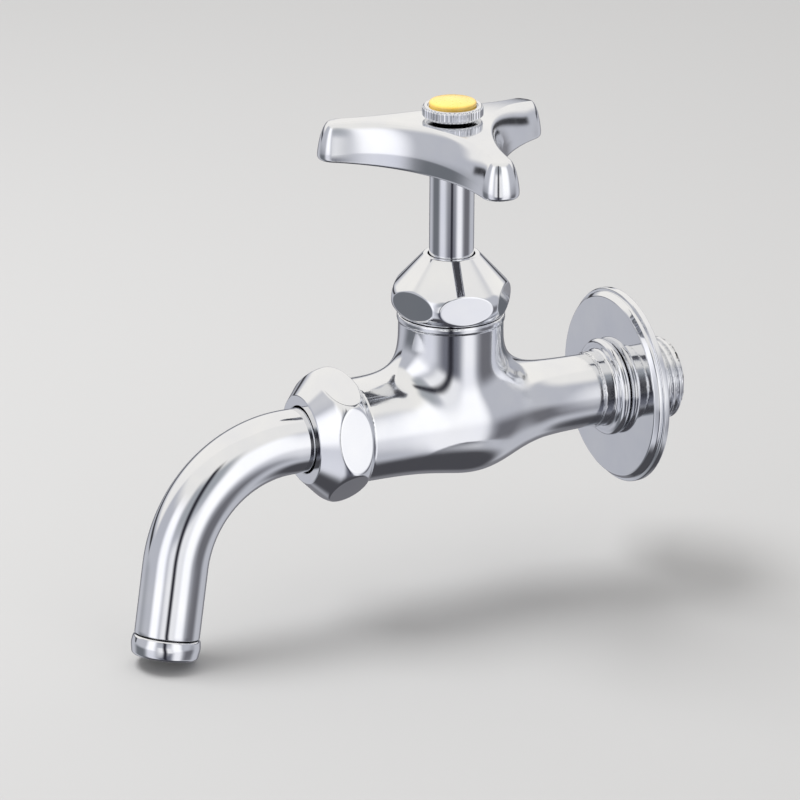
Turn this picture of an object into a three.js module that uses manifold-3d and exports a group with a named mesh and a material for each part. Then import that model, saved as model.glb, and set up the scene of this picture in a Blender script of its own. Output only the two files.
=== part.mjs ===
// A wall tap with a swivel spout, in millimetres. +Z is up along the spindle, the spout points
// to -Y and the inlet is the Y axis, with y = 0 where the wall flange meets the wall.
import * as THREE from "three";
import { mergeVertices } from "three/addons/utils/BufferGeometryUtils.js";
import Module from "manifold-3d";

const wasm = await Module();
wasm.setup();

// Clearance between neighbouring pieces, and how far a cutter runs past the face it opens.
const GAP = 0.3;
const PAST = 1;
const TURN = 32; // sides of a large turned piece
const FINE_TURN = 20; // sides of a small one

// Inlet thread: G 1/2, whose flanks are cut to a flat-topped form.
const INLET_THREAD_RADIUS = 10.48;
const INLET_THREAD_DEPTH = 1.16;
const INLET_THREAD_PITCH = 1.814;
const INLET_END_Y = 13;
const INLET_BORE_RADIUS = 7;

// Body: a horizontal barrel with the neck of the valve standing on it.
const SPINDLE_Y = -48.7;
const BEAD_BACK_Y = -3.8;
const BEAD_FRONT_Y = -6.2;
const BEAD_RADIUS = 12.4;
const LAND_FRONT_Y = -9.5;
const LAND_RADIUS = 9.6;
const ARM_RADIUS = 9.2;
const BULB_RADIUS = 14.6;
const BARREL_RADIUS = 13;
const BARREL_FRONT_Y = -76;
const NECK_RADIUS = 13;
const NECK_LIP_RADIUS = 13.3;
const NECK_LIP_Z = 25.2;
const NECK_TOP_Z = 26.9;
const NECK_THREAD_RADIUS = 11.2;
const NECK_THREAD_TOP_Z = 32;
const BOSS_RADIUS = 11.6;
const BOSS_FRONT_Y = -83.4;

// Valve inside the body.
const SEAT_HOLE_RADIUS = 6;
const SEAT_FLOOR_Z = 3.2;
const SEAT_Z = 4.2;
const CHAMBER_RADIUS = 9.5;
const CHAMBER_TOP_Z = 14;
const SPINDLE_THREAD_RADIUS = 8.5;
const SPINDLE_THREAD_DEPTH = 1.1;
const SPINDLE_LEAD = 2.5;

// Spindle, cap nut and handle.
const SHAFT_RADIUS = 5.5;
const SHAFT_TOP_Z = 68.6;
const SPLINE_RADIUS = 4;
const SPLINE_TOP_Z = 74.6;
const CAP_NUT_BOTTOM_Z = 27.2;
const CAP_NUT_WIDE_Z = 31.7;
const CAP_NUT_TOP_Z = 42.2;
const CAP_NUT_BOTTOM_RADIUS = 13.1;
const CAP_NUT_RADIUS = 16.5; // where its two cones would meet, before that edge is rounded
const CAP_NUT_ROUNDING = 4.6;
const CAP_NUT_RIM_RADIUS = 6.85;
const CAP_NUT_FLAT_DISTANCE = 13.5;
const CAP_NUT_TURN = THREE.MathUtils.degToRad(-18.5);
const PACKING_SHELF_Z = 34;
const PACKING_TOP_Z = 38.8;
const GLAND_TOP_RADIUS = 6.9;
const HANDLE_BOTTOM_Z = 65;
const HANDLE_EDGE_Z = 73.7;
const HANDLE_TOP_Z = 76.5;
const HANDLE_POCKET_Z = 70.6;
const HANDLE_REACH = 33.2;
const HANDLE_ARM_WIDTH = 9.5;
const HANDLE_CORNER = 4.4;
const HANDLE_VALLEY = 12.6;
const HANDLE_SHOULDER_INSET = 3.2;
const HANDLE_SHOULDER_DROP = 6.5;
const HANDLE_FOOT = 0.9;
const HANDLE_TURN = THREE.MathUtils.degToRad(-4.5);
const INDEX_RADIUS = 7.5;
const INDEX_BOTTOM_Z = 76.9;
const INDEX_HEIGHT = 3;
const INDEX_STEM_LENGTH = 11;
const DISC_RADIUS = 5.8;
const DISC_BOTTOM = 2.2; // above the bottom of the index screw's head, as is the next height
const DISC_EDGE = 3.7;
const DISC_DOME = 0.7;

// Spout: a 16 mm pipe with one bend, held by the pipe nut and left a little off straight down.
const PIPE_RADIUS = 8;
const PIPE_BORE_RADIUS = 7;
const PIPE_START_Y = -66;
const BEND_START_Y = -93.6;
const BEND_RADIUS = 32.7;
const BEND_ANGLE = THREE.MathUtils.degToRad(77.5);
const DROP_LENGTH = 17;
const SPOUT_SWIVEL = THREE.MathUtils.degToRad(-9.5);
const PIPE_NUT_BACK_Y = -76.3;
const PIPE_NUT_WIDE_Y = -81.5;
const PIPE_NUT_FRONT_Y = -89.6;
const PIPE_NUT_RADIUS = 19.2; // where its two cones would meet, before that edge is rounded
const PIPE_NUT_ROUNDING = 5.6;
const PIPE_NUT_RIM_RADIUS = 10.9;
const PIPE_NUT_BACK_RADIUS = 13.9;
const PIPE_NUT_FLAT_DISTANCE = 14.7;
const PIPE_NUT_TURN = THREE.MathUtils.degToRad(12);
const SOCKET_RADIUS = 8.4;
const SOCKET_STEP_Y = -76.6;
const PACKING_RADIUS = 10.1;
const COLLAR_RADIUS = 9.4;
const COLLAR_BACK_Y = -79.7;
const COLLAR_FRONT_Y = -80.9;

// Outlet ring at the end of the spout.
const OUTLET_RADIUS = 8.55;
const OUTLET_RECESS_RADIUS = 7.7;
const OUTLET_LIP_RADIUS = 6.2;
const OUTLET_LENGTH = 5.3;
const OUTLET_SWELL = -2.4; // where the ring is widest, below the end of the pipe

// Wall flange.
const FLANGE_RADIUS = 24.8;
const FLANGE_THICKNESS = 3.5;
const FLANGE_BORE_RADIUS = 10.9;

const CHROME = new THREE.MeshStandardMaterial({ color: 0xd9dade, metalness: 1, roughness: 0.08 });
const BRASS = new THREE.MeshStandardMaterial({ color: 0xc9a24a, metalness: 1, roughness: 0.35 });
const RUBBER = new THREE.MeshStandardMaterial({ color: 0x1b1b1c, metalness: 0, roughness: 0.8 });
const YELLOW = new THREE.MeshStandardMaterial({ color: 0xecce66, metalness: 0, roughness: 0.3 });
const PLASTIC = new THREE.MeshStandardMaterial({ color: 0xe6e6e2, metalness: 0, roughness: 0.5 });

// A geometry as a solid that can be joined and cut.
function solid(geometry) {
  const bare = new THREE.BufferGeometry().setAttribute("position", geometry.getAttribute("position"));
  if (geometry.index) bare.setIndex(geometry.index);
  const merged = mergeVertices(bare, 1e-4);
  return new wasm.Manifold(
    new wasm.Mesh({
      numProp: 3,
      vertProperties: merged.attributes.position.array,
      triVerts: new Uint32Array(merged.index.array),
    }),
  );
}

// A joined or cut solid as a geometry again.
function shape(made) {
  const mesh = made.getMesh();
  const geometry = new THREE.BufferGeometry();
  geometry.setAttribute("position", new THREE.BufferAttribute(mesh.vertProperties, 3));
  geometry.setIndex(new THREE.BufferAttribute(mesh.triVerts, 1));
  geometry.computeVertexNormals();
  return geometry;
}

// Points along an arc, both ends among them.
function arc(centre, radius, from, to, steps) {
  return Array.from({ length: steps + 1 }, (_, k) => {
    const angle = from + ((to - from) * k) / steps;
    return new THREE.Vector2(centre.x + radius * Math.cos(angle), centre.y + radius * Math.sin(angle));
  });
}

// The points of an outline whose corners [x, y, radius] are rounded to that radius.
function rounded(corners, steps = 4) {
  return corners.flatMap(([x, y, radius = 0], i) => {
    const corner = new THREE.Vector2(x, y);
    if (!radius) return [corner];
    const [before, after] = [corners.at(i - 1), corners[(i + 1) % corners.length]];
    const back = new THREE.Vector2(before[0], before[1]).sub(corner).normalize();
    const ahead = new THREE.Vector2(after[0], after[1]).sub(corner).normalize();
    const half = Math.acos(back.dot(ahead)) / 2;
    const centre = back.clone().add(ahead).setLength(radius / Math.sin(half)).add(corner);
    const first = back.clone().setLength(radius / Math.tan(half)).add(corner).sub(centre);
    const last = ahead.clone().setLength(radius / Math.tan(half)).add(corner).sub(centre);
    const sweep = Math.atan2(first.cross(last), first.dot(last));
    return arc(centre, radius, first.angle(), first.angle() + sweep, steps);
  });
}

// A profile of [radius, height] points turned about the Y axis. It runs up the outside.
function turnedOnY(points, sides = TURN) {
  return new THREE.LatheGeometry(points.map((p) => (p.isVector2 ? p : new THREE.Vector2(...p))), sides);
}

// The same, turned about the Z axis.
function turnedOnZ(points, sides = TURN) {
  return turnedOnY(points, sides).rotateX(Math.PI / 2);
}

// A ring of one profile: the outline closes on itself.
function ring(points, sides = TURN) {
  return turnedOnY([...points, points[0]], sides);
}

// A rectangular washer about the Y axis.
function washer(inner, outer, bottom, top, sides = TURN) {
  return ring([[inner, bottom], [outer, bottom], [outer, top], [inner, top]], sides);
}

// A rod about the Y axis between two heights.
function rod(radius, bottom, top, sides = TURN) {
  return turnedOnY([[0, bottom], [radius, bottom], [radius, top], [0, top]], sides);
}

// A hexagonal bar about the Y axis, with a flat facing turn from +Z towards +X.
function hexBar(flatDistance, bottom, top, turn) {
  const bar = new THREE.CylinderGeometry(1, 1, top - bottom, 6);
  bar.scale(flatDistance / Math.cos(Math.PI / 6), 1, flatDistance / Math.cos(Math.PI / 6));
  bar.rotateY(Math.PI / 6 + turn);
  return bar.translate(0, (bottom + top) / 2, 0);
}

// Closes a loop of vertex indices with a fan of triangles about one vertex.
function fan(index, centre, loop, facesUp) {
  loop.forEach((vertex, i) => {
    const following = loop[(i + 1) % loop.length];
    index.push(centre, ...(facesUp ? [vertex, following] : [following, vertex]));
  });
}

// The surface of a screw about the Y axis. Each row of vertices climbs one pitch in a turn and
// meets the row one turn above it, so four rows make the flat crest, the root and both flanks.
function screwGeometry(radius, depth, pitch, bottom, turns) {
  const form = [[0, 0], [0.35, 0], [0.5, -depth], [0.85, -depth]];
  const positions = [];
  for (let row = 0; row < turns * form.length; row += 1) {
    const [share, offset] = form[row % form.length];
    const height = bottom + (Math.floor(row / form.length) + share) * pitch;
    for (let side = 0; side < FINE_TURN; side += 1) {
      const angle = (side / FINE_TURN) * 2 * Math.PI;
      const y = height + (side / FINE_TURN) * pitch;
      positions.push((radius + offset) * Math.sin(angle), y, (radius + offset) * Math.cos(angle));
    }
  }
  const at = (row, side) => (side < FINE_TURN ? row * FINE_TURN + side : (row + form.length) * FINE_TURN);
  const topRow = (turns - 1) * form.length - 1;
  const index = [];
  for (let row = 0; row < topRow; row += 1) {
    for (let side = 0; side < FINE_TURN; side += 1) {
      index.push(at(row, side), at(row, side + 1), at(row + 1, side + 1));
      index.push(at(row, side), at(row + 1, side + 1), at(row + 1, side));
    }
  }
  [0, topRow].forEach((row) => {
    const around = Array.from({ length: FINE_TURN }, (_, side) => at(row, side));
    const seam = form.map((_, step) => (row + form.length - step) * FINE_TURN);
    fan(index, positions.length / 3, [...around, ...seam], row === topRow);
    positions.push(0, positions[3 * at(row, 0) + 1] + pitch / 2, 0);
  });
  const geometry = new THREE.BufferGeometry();
  geometry.setAttribute("position", new THREE.Float32BufferAttribute(positions, 3));
  return geometry.setIndex(index);
}

// A threaded rod about the Y axis, cut flat and chamfered at both ends.
function threadedRod(radius, depth, pitch, bottom, top) {
  const turns = Math.ceil((top - bottom) / pitch) + 3;
  const screw = solid(screwGeometry(radius, depth, pitch, bottom - 1.5 * pitch, turns));
  const ends = [[0, bottom], [radius - depth, bottom], [radius, bottom + depth],
    [radius, top - depth], [radius - depth, top], [0, top]];
  return screw.intersect(solid(turnedOnY(ends, FINE_TURN)));
}

// Stacks rings of points, given from the bottom up, into one closed body about the Z axis.
function stacked(rings) {
  const count = rings[0].length;
  const positions = rings.flat().flatMap((point) => [point.x, point.y, point.z]);
  const index = [];
  for (let row = 0; row + 1 < rings.length; row += 1) {
    for (let i = 0; i < count; i += 1) {
      const [a, b] = [row * count + i, row * count + ((i + 1) % count)];
      index.push(a, b, b + count, a, b + count, a + count);
    }
  }
  [rings[0], rings.at(-1)].forEach((points, end) => {
    const first = end ? (rings.length - 1) * count : 0;
    fan(index, positions.length / 3, points.map((_, i) => first + i), end === 1);
    positions.push(0, 0, points[0].z);
  });
  const geometry = new THREE.BufferGeometry();
  geometry.setAttribute("position", new THREE.Float32BufferAttribute(positions, 3));
  return geometry.setIndex(index);
}

// The shank behind the flange: a threaded tube with a bead and a land where the arm starts.
function shank() {
  const thread = threadedRod(INLET_THREAD_RADIUS, INLET_THREAD_DEPTH, INLET_THREAD_PITCH,
    BEAD_BACK_Y - 1, INLET_END_Y);
  const collar = rounded([
    [0, LAND_FRONT_Y - 1], [ARM_RADIUS, LAND_FRONT_Y - 1], [ARM_RADIUS, LAND_FRONT_Y],
    [LAND_RADIUS, LAND_FRONT_Y], [LAND_RADIUS, BEAD_FRONT_Y], [BEAD_RADIUS, BEAD_FRONT_Y, 0.8],
    [BEAD_RADIUS, BEAD_BACK_Y, 0.8], [0, BEAD_BACK_Y],
  ], 3);
  return thread.add(solid(turnedOnY(collar)));
}

// The arm, the bulb under the neck and the front barrel, as one turned body.
function barrel() {
  const outline = new THREE.SplineCurve([
    [BARREL_RADIUS - 0.2, BARREL_FRONT_Y], [BARREL_RADIUS + 0.1, SPINDLE_Y - 14],
    [BULB_RADIUS, SPINDLE_Y - 3], [BULB_RADIUS - 0.3, SPINDLE_Y + 9],
    [ARM_RADIUS + 1.9, SPINDLE_Y + 18.5], [ARM_RADIUS + 0.1, SPINDLE_Y + 27],
    [ARM_RADIUS, LAND_FRONT_Y - 0.5],
  ].map((p) => new THREE.Vector2(...p)));
  return solid(turnedOnY([[0, BARREL_FRONT_Y], ...outline.getPoints(16), [0, LAND_FRONT_Y - 0.5]]));
}

// The neck with its flared root, and the threaded top that carries the cap nut.
function neck() {
  const flare = new THREE.CubicBezierCurve(
    new THREE.Vector2(BULB_RADIUS + 0.3, 4), new THREE.Vector2(NECK_RADIUS + 0.6, 9),
    new THREE.Vector2(NECK_RADIUS, 12), new THREE.Vector2(NECK_RADIUS, 19),
  );
  const outline = [
    [0, 0], [BULB_RADIUS - 0.4, 0], ...flare.getPoints(5),
    [NECK_RADIUS, NECK_LIP_Z], [NECK_LIP_RADIUS, NECK_LIP_Z], [NECK_LIP_RADIUS, NECK_TOP_Z],
    [NECK_THREAD_RADIUS, NECK_TOP_Z], [NECK_THREAD_RADIUS, NECK_THREAD_TOP_Z - 0.8],
    [NECK_THREAD_RADIUS - 0.8, NECK_THREAD_TOP_Z], [0, NECK_THREAD_TOP_Z],
  ];
  return solid(turnedOnZ(outline).translate(0, SPINDLE_Y, 0));
}

// A round passage between two points of the plane x = 0, given as [y, z].
function passage(radius, [fromY, fromZ], [toY, toZ]) {
  const drill = rod(radius, 0, Math.hypot(toY - fromY, toZ - fromZ), FINE_TURN);
  return solid(drill.rotateX(Math.atan2(toZ - fromZ, toY - fromY)).translate(0, fromY, fromZ));
}

// The water way: inlet bore, rise under the seat, valve chamber, and the way out to the spout.
function waterWay() {
  const valve = turnedOnZ([
    [0, -7], [SEAT_HOLE_RADIUS, -7], [SEAT_HOLE_RADIUS, SEAT_Z], [SEAT_HOLE_RADIUS + 1.6, SEAT_Z],
    [SEAT_HOLE_RADIUS + 1.6, SEAT_FLOOR_Z], [CHAMBER_RADIUS, SEAT_FLOOR_Z], [CHAMBER_RADIUS, CHAMBER_TOP_Z],
    [SPINDLE_THREAD_RADIUS + GAP, CHAMBER_TOP_Z], [SPINDLE_THREAD_RADIUS + GAP, NECK_THREAD_TOP_Z + PAST],
    [0, NECK_THREAD_TOP_Z + PAST],
  ]).translate(0, SPINDLE_Y, 0);
  const socket = turnedOnY([
    [0, BOSS_FRONT_Y - PAST], [PACKING_RADIUS + 0.4, BOSS_FRONT_Y - PAST],
    [PACKING_RADIUS + 0.4, SOCKET_STEP_Y], [SOCKET_RADIUS, SOCKET_STEP_Y],
    [SOCKET_RADIUS, PIPE_START_Y + 1.5], [0, PIPE_START_Y + 1.5],
  ]);
  return solid(valve)
    .add(solid(socket))
    .add(passage(INLET_BORE_RADIUS, [SPINDLE_Y + 16, 0], [INLET_END_Y + PAST, 0]))
    .add(passage(4.5, [SPINDLE_Y, -4.3], [SPINDLE_Y + 18, -1.5]))
    .add(passage(3.6, [SPINDLE_Y - 8, 10], [SPINDLE_Y - 19.5, -1]));
}

function bodyGeometry() {
  const boss = solid(rod(BOSS_RADIUS, BOSS_FRONT_Y, BARREL_FRONT_Y + PAST));
  return shape(shank().add(barrel()).add(neck()).add(boss).subtract(waterWay()));
}

function flangeGeometry() {
  const outline = rounded([
    [FLANGE_BORE_RADIUS, -FLANGE_THICKNESS], [FLANGE_RADIUS - 3, -FLANGE_THICKNESS, 1],
    [FLANGE_RADIUS - 1.2, -3, 0.8], [FLANGE_RADIUS, -2.2, 0.4], [FLANGE_RADIUS, -1.5],
    [FLANGE_RADIUS - 0.6, -1.2], [FLANGE_RADIUS, -0.9, 0.3], [FLANGE_RADIUS, 0], [FLANGE_BORE_RADIUS, 0],
  ], 2);
  return ring(outline, 48);
}

// A double cone, rounded where it is widest, with six flats cut there. The outline runs up the
// outside, then down the bore.
function nutGeometry(corners, flatDistance, turn) {
  const outline = rounded(corners, 6);
  const heights = outline.map((point) => point.y);
  const flats = hexBar(flatDistance, Math.min(...heights) - PAST, Math.max(...heights) + PAST, turn);
  return shape(solid(ring(outline)).intersect(solid(flats)));
}

function capNutGeometry() {
  const outline = [
    [NECK_THREAD_RADIUS + 0.4, CAP_NUT_BOTTOM_Z], [CAP_NUT_BOTTOM_RADIUS, CAP_NUT_BOTTOM_Z],
    [CAP_NUT_RADIUS, CAP_NUT_WIDE_Z, CAP_NUT_ROUNDING],
    [CAP_NUT_RIM_RADIUS, CAP_NUT_TOP_Z], [SHAFT_RADIUS + GAP, CAP_NUT_TOP_Z],
    [SHAFT_RADIUS + GAP, PACKING_TOP_Z], [GLAND_TOP_RADIUS + 0.1, PACKING_TOP_Z],
    [NECK_THREAD_RADIUS + 0.4, PACKING_SHELF_Z],
  ];
  return nutGeometry(outline, CAP_NUT_FLAT_DISTANCE, -CAP_NUT_TURN).rotateX(Math.PI / 2);
}

function pipeNutGeometry() {
  const outline = [
    [SOCKET_RADIUS, PIPE_NUT_FRONT_Y], [PIPE_NUT_RIM_RADIUS, PIPE_NUT_FRONT_Y],
    [PIPE_NUT_RADIUS, PIPE_NUT_WIDE_Y, PIPE_NUT_ROUNDING], [PIPE_NUT_BACK_RADIUS, PIPE_NUT_BACK_Y],
    [BOSS_RADIUS + 0.4, PIPE_NUT_BACK_Y], [BOSS_RADIUS + 0.4, BOSS_FRONT_Y - GAP],
    [SOCKET_RADIUS, BOSS_FRONT_Y - GAP],
  ];
  return nutGeometry(outline, PIPE_NUT_FLAT_DISTANCE, Math.PI / 2 - PIPE_NUT_TURN);
}

function packingWasherGeometry() {
  const bottom = NECK_THREAD_TOP_Z + GAP;
  const top = PACKING_SHELF_Z - 0.5;
  return washer(SHAFT_RADIUS + GAP, NECK_THREAD_RADIUS - 0.4, bottom, top).rotateX(Math.PI / 2);
}

// The gland packing has a triangular section that the cap nut's cone squeezes onto the spindle.
function glandPackingGeometry() {
  const [bottom, top] = [PACKING_SHELF_Z - 0.2, PACKING_TOP_Z - 0.5];
  const outline = [
    [SHAFT_RADIUS + GAP, bottom], [10.6, bottom], [GLAND_TOP_RADIUS, top], [SHAFT_RADIUS + GAP, top],
  ];
  return ring(outline).rotateX(Math.PI / 2);
}

function spindleGeometry() {
  const threadBottom = 12.5;
  const threadTop = 26;
  const thread = threadedRod(SPINDLE_THREAD_RADIUS, SPINDLE_THREAD_DEPTH, SPINDLE_LEAD,
    threadBottom, threadTop);
  const shaft = turnedOnY(rounded([
    [0, 10], [6.6, 10, 0.5], [6.6, threadBottom + PAST], [SHAFT_RADIUS, threadBottom + PAST],
    [SHAFT_RADIUS, SHAFT_TOP_Z, 0.4], [SPLINE_RADIUS, SHAFT_TOP_Z], [SPLINE_RADIUS, SPLINE_TOP_Z, 0.4],
    [0, SPLINE_TOP_Z],
  ], 2), 32);
  const jumperHole = rod(3.3, 10 - PAST, 24, FINE_TURN);
  const screwHole = rod(2.3, SHAFT_TOP_Z - 3, SPLINE_TOP_Z + PAST, FINE_TURN);
  const made = thread.add(solid(shaft)).subtract(solid(jumperHole)).subtract(solid(screwHole));
  return shape(made).rotateX(Math.PI / 2);
}

function jumperGeometry() {
  return turnedOnZ(rounded([
    [0, 1.4], [1.6, 1.4], [1.6, 7.8], [6.6, 7.8], [6.6, 9.5, 0.6], [3, 9.5], [3, 22, 0.8], [0, 22],
  ], 2), FINE_TURN);
}

function jumperWasherGeometry() {
  return washer(1.9, 7, 4.5, 7.5, 32).rotateX(Math.PI / 2);
}

function jumperNutGeometry() {
  const bore = solid(rod(1.9, 2.2 - PAST, 4.2 + PAST, 16));
  return shape(solid(hexBar(2.75, 2.2, 4.2, 0)).subtract(bore)).rotateX(Math.PI / 2);
}

// The outline of the three-armed handle, drawn inwards by inset: blunt tips joined by hollow sides.
function handleOutline(inset) {
  const third = (2 * Math.PI) / 3;
  const corner = new THREE.Vector2(HANDLE_REACH - HANDLE_CORNER, HANDLE_ARM_WIDTH / 2 - HANDLE_CORNER);
  const middle = new THREE.Vector2();
  const [away, toSide] = [corner.length(), Math.cos(third / 2 - corner.angle())];
  const gapSquared = away ** 2 + HANDLE_VALLEY ** 2 - 2 * away * HANDLE_VALLEY * toSide;
  const hollowRadius = (gapSquared - HANDLE_CORNER ** 2)
    / (2 * HANDLE_CORNER + 2 * away * toSide - 2 * HANDLE_VALLEY);
  const side = new THREE.Vector2(HANDLE_VALLEY + hollowRadius, 0).rotateAround(middle, third / 2);
  const swing = side.clone().sub(corner).angle();
  const half = swing - third / 2;
  const facing = third / 2 + Math.PI;
  const arm = [
    ...arc({ x: corner.x, y: -corner.y }, HANDLE_CORNER - inset, -swing, 0, 4),
    ...arc(corner, HANDLE_CORNER - inset, 0, swing, 4),
    ...arc(side, hollowRadius + inset, facing + half, facing - half, 7).slice(1, -1),
  ];
  return [0, 1, 2].flatMap((turn) =>
    arm.map((point) => point.clone().rotateAround(middle, HANDLE_TURN + turn * third)));
}

// Height of the handle's domed top at a distance from the spindle axis.
function handleDome(distance) {
  return HANDLE_TOP_Z - (HANDLE_TOP_Z - HANDLE_EDGE_Z) * (distance / HANDLE_REACH) ** 2;
}

// A cast shell: domed over three arms, hollow underneath round the boss that takes the spindle.
function handleGeometry() {
  const level = (inset, height) => handleOutline(inset).map((p) => new THREE.Vector3(p.x, p.y, height));
  const domed = (inset, share, drop) =>
    handleOutline(inset).map((p) => {
      const [x, y] = [p.x * share, p.y * share];
      return new THREE.Vector3(x, y, handleDome(Math.hypot(x, y)) - drop);
    });
  const shoulder = [0, 1, 2, 3].map((step) => {
    const angle = (step * Math.PI) / 8;
    const inset = HANDLE_SHOULDER_INSET * (1 - Math.cos(angle));
    return domed(inset, 1, HANDLE_SHOULDER_DROP * (1 - Math.sin(angle)));
  });
  const outside = stacked([
    level(HANDLE_FOOT, HANDLE_BOTTOM_Z), level(0, HANDLE_BOTTOM_Z + HANDLE_FOOT), ...shoulder,
    ...[1, 0.75, 0.5, 0.25].map((share) => domed(HANDLE_SHOULDER_INSET, share, 0)),
  ]);
  const pocket = stacked([level(1.8, HANDLE_BOTTOM_Z - PAST), level(1.8, HANDLE_POCKET_Z)]);
  const boss = turnedOnZ([[0, SHAFT_TOP_Z + GAP], [7, SHAFT_TOP_Z + GAP], [7, HANDLE_POCKET_Z + PAST],
    [0, HANDLE_POCKET_Z + PAST]]);
  const bore = turnedOnZ([[0, SHAFT_TOP_Z - PAST], [SPLINE_RADIUS + GAP, SHAFT_TOP_Z - PAST],
    [SPLINE_RADIUS + GAP, SPLINE_TOP_Z + GAP], [2.4, SPLINE_TOP_Z + GAP], [2.4, HANDLE_TOP_Z + PAST],
    [0, HANDLE_TOP_Z + PAST]]);
  return shape(solid(outside).subtract(solid(pocket)).add(solid(boss)).subtract(solid(bore)));
}

// The index screw: a knurled head with a dished top that holds the coloured disc, and its stud.
function indexScrewGeometry() {
  const teeth = 44;
  const middle = new THREE.Vector2();
  const knurl = new THREE.Shape(
    Array.from({ length: 2 * teeth }, (_, i) =>
      new THREE.Vector2(INDEX_RADIUS - (i % 2) * 0.35, 0).rotateAround(middle, (i * Math.PI) / teeth)),
  );
  const head = new THREE.ExtrudeGeometry(knurl, { depth: INDEX_HEIGHT, bevelEnabled: false });
  const outline = [
    [0, 0], [INDEX_RADIUS - 0.8, 0], [INDEX_RADIUS, 0.8], [INDEX_RADIUS, INDEX_HEIGHT - 0.8],
    [INDEX_RADIUS - 0.8, INDEX_HEIGHT], [DISC_RADIUS + GAP, INDEX_HEIGHT],
    [DISC_RADIUS + GAP, DISC_BOTTOM - GAP], [0, DISC_BOTTOM - GAP],
  ];
  const stem = rod(2, -INDEX_STEM_LENGTH, PAST, FINE_TURN).rotateX(Math.PI / 2);
  const turned = solid(head).intersect(solid(turnedOnZ(outline)));
  return shape(turned.add(solid(stem))).translate(0, 0, INDEX_BOTTOM_Z);
}

function indexDiscGeometry() {
  const dome = new THREE.EllipseCurve(0, DISC_EDGE, DISC_RADIUS, DISC_DOME, 0, Math.PI / 2);
  const outline = [[0, DISC_BOTTOM], [DISC_RADIUS, DISC_BOTTOM], ...dome.getPoints(5)];
  return turnedOnZ(outline).translate(0, 0, INDEX_BOTTOM_Z);
}

// The centre line of the spout: straight out of the nut, round the bend and down to the outlet.
class SpoutLine extends THREE.Curve {
  getPoint(share, target = new THREE.Vector3()) {
    const lead = PIPE_START_Y - BEND_START_Y;
    const bend = BEND_RADIUS * BEND_ANGLE;
    const distance = share * (lead + bend + DROP_LENGTH);
    const angle = THREE.MathUtils.clamp((distance - lead) / BEND_RADIUS, 0, BEND_ANGLE);
    const straight = Math.max(distance - lead - bend, 0);
    const y = PIPE_START_Y - Math.min(distance, lead) - BEND_RADIUS * Math.sin(angle);
    const z = -BEND_RADIUS * (1 - Math.cos(angle));
    return target.set(0, y - straight * Math.cos(BEND_ANGLE), z - straight * Math.sin(BEND_ANGLE));
  }
}

// The spout pipe, with the rolled collar that the split ring bears on.
function spoutPipeGeometry() {
  const section = new THREE.Shape().absarc(0, 0, PIPE_RADIUS, 0, 2 * Math.PI);
  section.holes.push(new THREE.Path().absarc(0, 0, PIPE_BORE_RADIUS, 0, 2 * Math.PI, true));
  const sweep = { steps: 22, curveSegments: 9, extrudePath: new SpoutLine() };
  const pipe = new THREE.ExtrudeGeometry(section, sweep);
  const root = PIPE_RADIUS - 0.5;
  const collar = ring(rounded([
    [root, COLLAR_FRONT_Y], [COLLAR_RADIUS, COLLAR_FRONT_Y, 0.5], [COLLAR_RADIUS, COLLAR_BACK_Y, 0.5],
    [root, COLLAR_BACK_Y],
  ], 2), FINE_TURN);
  return shape(solid(pipe).add(solid(collar)));
}

function pipePackingGeometry() {
  return washer(SOCKET_RADIUS, PACKING_RADIUS, COLLAR_BACK_Y + GAP, SOCKET_STEP_Y - GAP);
}

// The split ring that stops the pipe from being pulled out of the nut.
function pipeRingGeometry() {
  const [front, back] = [BOSS_FRONT_Y + GAP, COLLAR_FRONT_Y - GAP];
  const closed = solid(washer(SOCKET_RADIUS, PACKING_RADIUS, front, back));
  const slot = new THREE.BoxGeometry(2, 4, 6).translate(0, (front + back) / 2, PACKING_RADIUS);
  return shape(closed.subtract(solid(slot)));
}

// The outlet pieces stand in the frame of the pipe's end: z = 0 is the end of the pipe and the
// water leaves to -Z. The ring holds the straightener against a gasket under the pipe's wall.
function outletRingGeometry() {
  return ring(rounded([
    [OUTLET_LIP_RADIUS, -OUTLET_LENGTH], [OUTLET_RADIUS - 0.5, -OUTLET_LENGTH, 0.9],
    [OUTLET_RADIUS, OUTLET_SWELL, 3], [OUTLET_RADIUS - 0.3, -GAP], [OUTLET_RECESS_RADIUS, -GAP],
    [OUTLET_RECESS_RADIUS, -3.5], [OUTLET_LIP_RADIUS, -3.5],
  ], 2)).rotateX(Math.PI / 2);
}

function outletGasketGeometry() {
  return washer(6.4, OUTLET_RECESS_RADIUS - GAP, -1.5, -0.6).rotateX(Math.PI / 2);
}

function flowStraightenerGeometry() {
  const [radius, bottom, top] = [OUTLET_RECESS_RADIUS - GAP, -3.2, -1.8];
  const hole = rod(1.3, bottom - PAST, top + PAST, 12);
  const around = Array.from({ length: 6 }, (_, i) =>
    hole.clone().translate(0, 0, 3.9).rotateY((i * Math.PI) / 3));
  const disc = solid(rod(radius, bottom, top));
  const plate = [hole, ...around].reduce((left, cut) => left.subtract(solid(cut)), disc);
  return shape(plate).rotateX(Math.PI / 2);
}

const spoutFrame = new THREE.Group();
spoutFrame.rotation.y = SPOUT_SWIVEL;

const outletFrame = new THREE.Group();
outletFrame.position.copy(new SpoutLine().getPoint(1));
outletFrame.rotation.x = BEND_ANGLE - Math.PI / 2;

const spindleFrame = new THREE.Group();
spindleFrame.position.y = SPINDLE_Y;

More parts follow.
